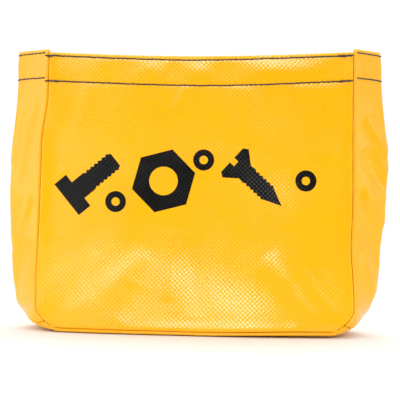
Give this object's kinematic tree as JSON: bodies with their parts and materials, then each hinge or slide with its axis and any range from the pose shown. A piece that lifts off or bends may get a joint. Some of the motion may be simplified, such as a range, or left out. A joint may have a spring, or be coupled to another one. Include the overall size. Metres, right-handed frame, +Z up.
{
  "type": "foreign object debris pouch",
  "caption": "Yellow coated-cloth pouch for loose hardware, with folding side gussets, a flat bottom gusset, a stitched hem with hook-and-loop closure, printed marks and belt loops.",
  "frame": {"origin": "centre of the bottom gusset's lower face, on which the pouch stands", "axes": "+X along the pouch's width, -Y towards the front panel, +Z up towards the mouth"},
  "size_m": [0.2438, 0.0519, 0.1778],
  "materials": {
    "yellow_vinyl": "soft-gloss yellow vinyl over woven cloth, weave showing through",
    "belt_strap": "doubled yellow vinyl-coated cloth",
    "hem_thread": "dark bonded polyester thread",
    "black_print": "screen-printed black ink, weave showing through",
    "hook_tape": "black woven tape with stiff hooks",
    "loop_tape": "black woven tape with soft loops"
  },
  "bodies": {
    "root": {"back_panel": "yellow_vinyl", "bottom_gusset": "yellow_vinyl", "loop_tape": "loop_tape", "back_hem_upper_stitching": "hem_thread", "back_hem_lower_stitching": "hem_thread", "left_gusset_rear_half": "yellow_vinyl", "right_gusset_rear_half": "yellow_vinyl", "left_gusset_rear_upper_stitching": "hem_thread", "left_gusset_rear_lower_stitching": "hem_thread", "right_gusset_rear_upper_stitching": "hem_thread", "right_gusset_rear_lower_stitching": "hem_thread", "left_belt_loop": "belt_strap", "right_belt_loop": "belt_strap"},
    "front": {"front_panel": "yellow_vinyl", "hook_tape": "hook_tape", "front_hem_upper_stitching": "hem_thread", "front_hem_lower_stitching": "hem_thread", "left_gusset_front_half": "yellow_vinyl", "right_gusset_front_half": "yellow_vinyl", "left_gusset_front_upper_stitching": "hem_thread", "left_gusset_front_lower_stitching": "hem_thread", "right_gusset_front_upper_stitching": "hem_thread", "right_gusset_front_lower_stitching": "hem_thread", "print_bolt": "black_print", "print_nut": "black_print", "print_screw": "black_print", "print_left_washer": "black_print", "print_middle_washer": "black_print", "print_right_washer": "black_print"}
  },
  "joints": [
    {"name": "mouth_open", "type": "hinge", "parent": "root", "child": "front", "pos_m": [0, -0.025, 0.0013], "axis": [1, 0, 0], "range_deg": [-8, 6], "deforming": ["left_gusset_front_half", "left_gusset_front_upper_stitching", "left_gusset_front_lower_stitching", "right_gusset_front_half", "right_gusset_front_upper_stitching", "right_gusset_front_lower_stitching"]}
  ]
}
